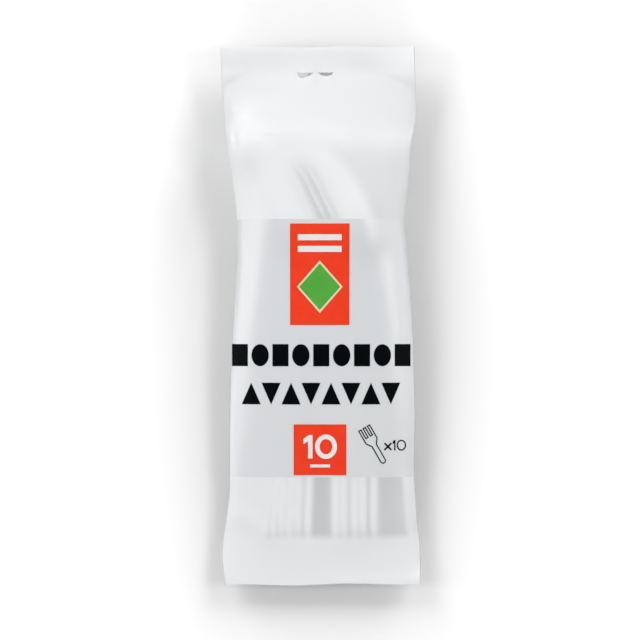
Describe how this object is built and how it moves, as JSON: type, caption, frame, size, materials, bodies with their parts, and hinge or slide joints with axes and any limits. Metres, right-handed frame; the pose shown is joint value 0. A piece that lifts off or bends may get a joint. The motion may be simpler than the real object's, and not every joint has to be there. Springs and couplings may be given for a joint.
{
  "type": "plastic fork pack",
  "caption": "Clear film pack with a printed band, a flat hem and a hang-slit header, holding two stacks of disposable plastic forks.",
  "frame": {"origin": "middle of the flat back, halfway between the sealed ends", "axes": "+Y from the fork handle ends to the header with the hang slit, +Z out of the printed front, +X to the right seen from the front"},
  "size_m": [0.0798, 0.2152, 0.0238],
  "materials": {
    "clear_film": "thin hazy clear film with a soft gloss",
    "fork_plastic": "moulded white plastic with a soft gloss",
    "white_print": "matt white ink on film",
    "red_print": "flat red ink on film",
    "green_print": "flat green ink on film",
    "black_print": "flat black ink on film"
  },
  "bodies": {
    "root": {"film_pouch": "clear_film", "left_fork_1": "fork_plastic", "left_fork_2": "fork_plastic", "left_fork_3": "fork_plastic", "left_fork_4": "fork_plastic", "left_fork_5": "fork_plastic", "right_fork_1": "fork_plastic", "right_fork_2": "fork_plastic", "right_fork_3": "fork_plastic", "right_fork_4": "fork_plastic", "right_fork_5": "fork_plastic"}
  },
  "joints": []
}
